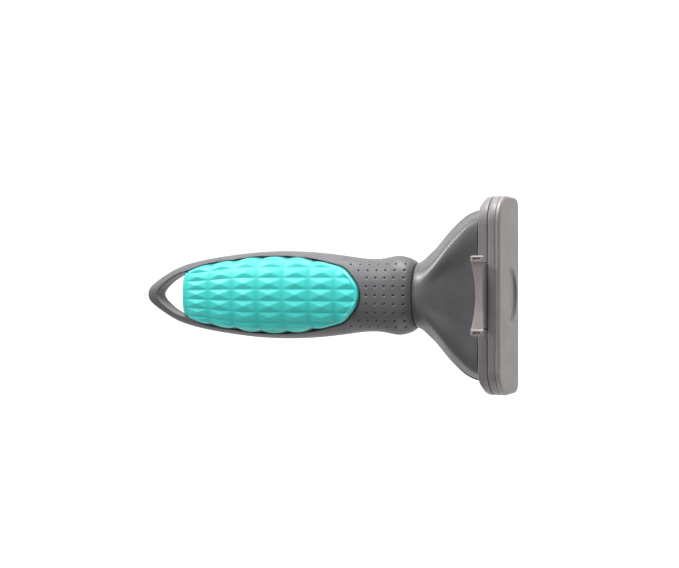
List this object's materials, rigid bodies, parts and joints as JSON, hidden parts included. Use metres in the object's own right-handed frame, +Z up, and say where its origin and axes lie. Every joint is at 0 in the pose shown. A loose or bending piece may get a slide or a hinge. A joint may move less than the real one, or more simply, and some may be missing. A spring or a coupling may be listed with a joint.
{
  "type": "deshedding tool",
  "caption": "Handheld pet deshedding comb: soft knurled grip, flared neck, fine steel comb in a slim head, sprung thumb ejector and a pull-off blade guard.",
  "frame": {"origin": "middle of the tool's box, on the table it lies on", "axes": "+X from the handle's tail to the head, +Z up through the thumb button, +Y across the head"},
  "size_m": [0.16, 0.075, 0.03],
  "materials": {
    "frame_grey": "satin soft-touch overmould with fine dimples",
    "neck_grey": "satin moulded plastic",
    "housing_grey": "satin moulded plastic",
    "inner_grey": "plain moulded plastic",
    "grip_teal": "satin soft grip with raised pyramids",
    "cover_beige": "satin moulded plastic",
    "steel": "fine brushed stainless steel"
  },
  "bodies": {
    "handle": {"handle_frame": "frame_grey", "handle_core": "inner_grey", "grip_pad_top": "grip_teal", "grip_pad_bottom": "grip_teal", "neck_upper_shell": "neck_grey", "neck_lower_shell": "neck_grey", "neck_tang": "steel", "neck_screw_1": "steel", "neck_screw_2": "steel", "head_back_housing": "housing_grey", "head_front_housing": "housing_grey", "housing_screw_1": "steel", "housing_screw_2": "steel", "housing_screw_3": "steel", "housing_screw_4": "steel", "blade": "steel", "blade_clamp_bar": "steel", "blade_rivet_1": "steel", "blade_rivet_2": "steel", "blade_rivet_3": "steel", "return_spring_left": "steel", "return_spring_right": "steel", "spring_pin_left": "steel", "spring_pin_right": "steel"},
    "ejector": {"ejector_plate": "steel", "ejector_button": "cover_beige", "button_screw_1": "steel", "button_screw_2": "steel"},
    "guard": {"blade_guard": "cover_beige"}
  },
  "joints": [
    {"name": "ejector_push", "type": "slide", "parent": "handle", "child": "ejector", "axis": [0.0698, 0, -0.9976], "range_m": [0, 0.004], "stiffness_N_per_m": 500, "springref_m": -0.004, "deforming": ["return_spring_left", "return_spring_right"]},
    {"name": "guard_pull", "type": "slide", "parent": "handle", "child": "guard", "axis": [0.0698, 0, -0.9976], "range_m": [0, 0.03]}
  ]
}
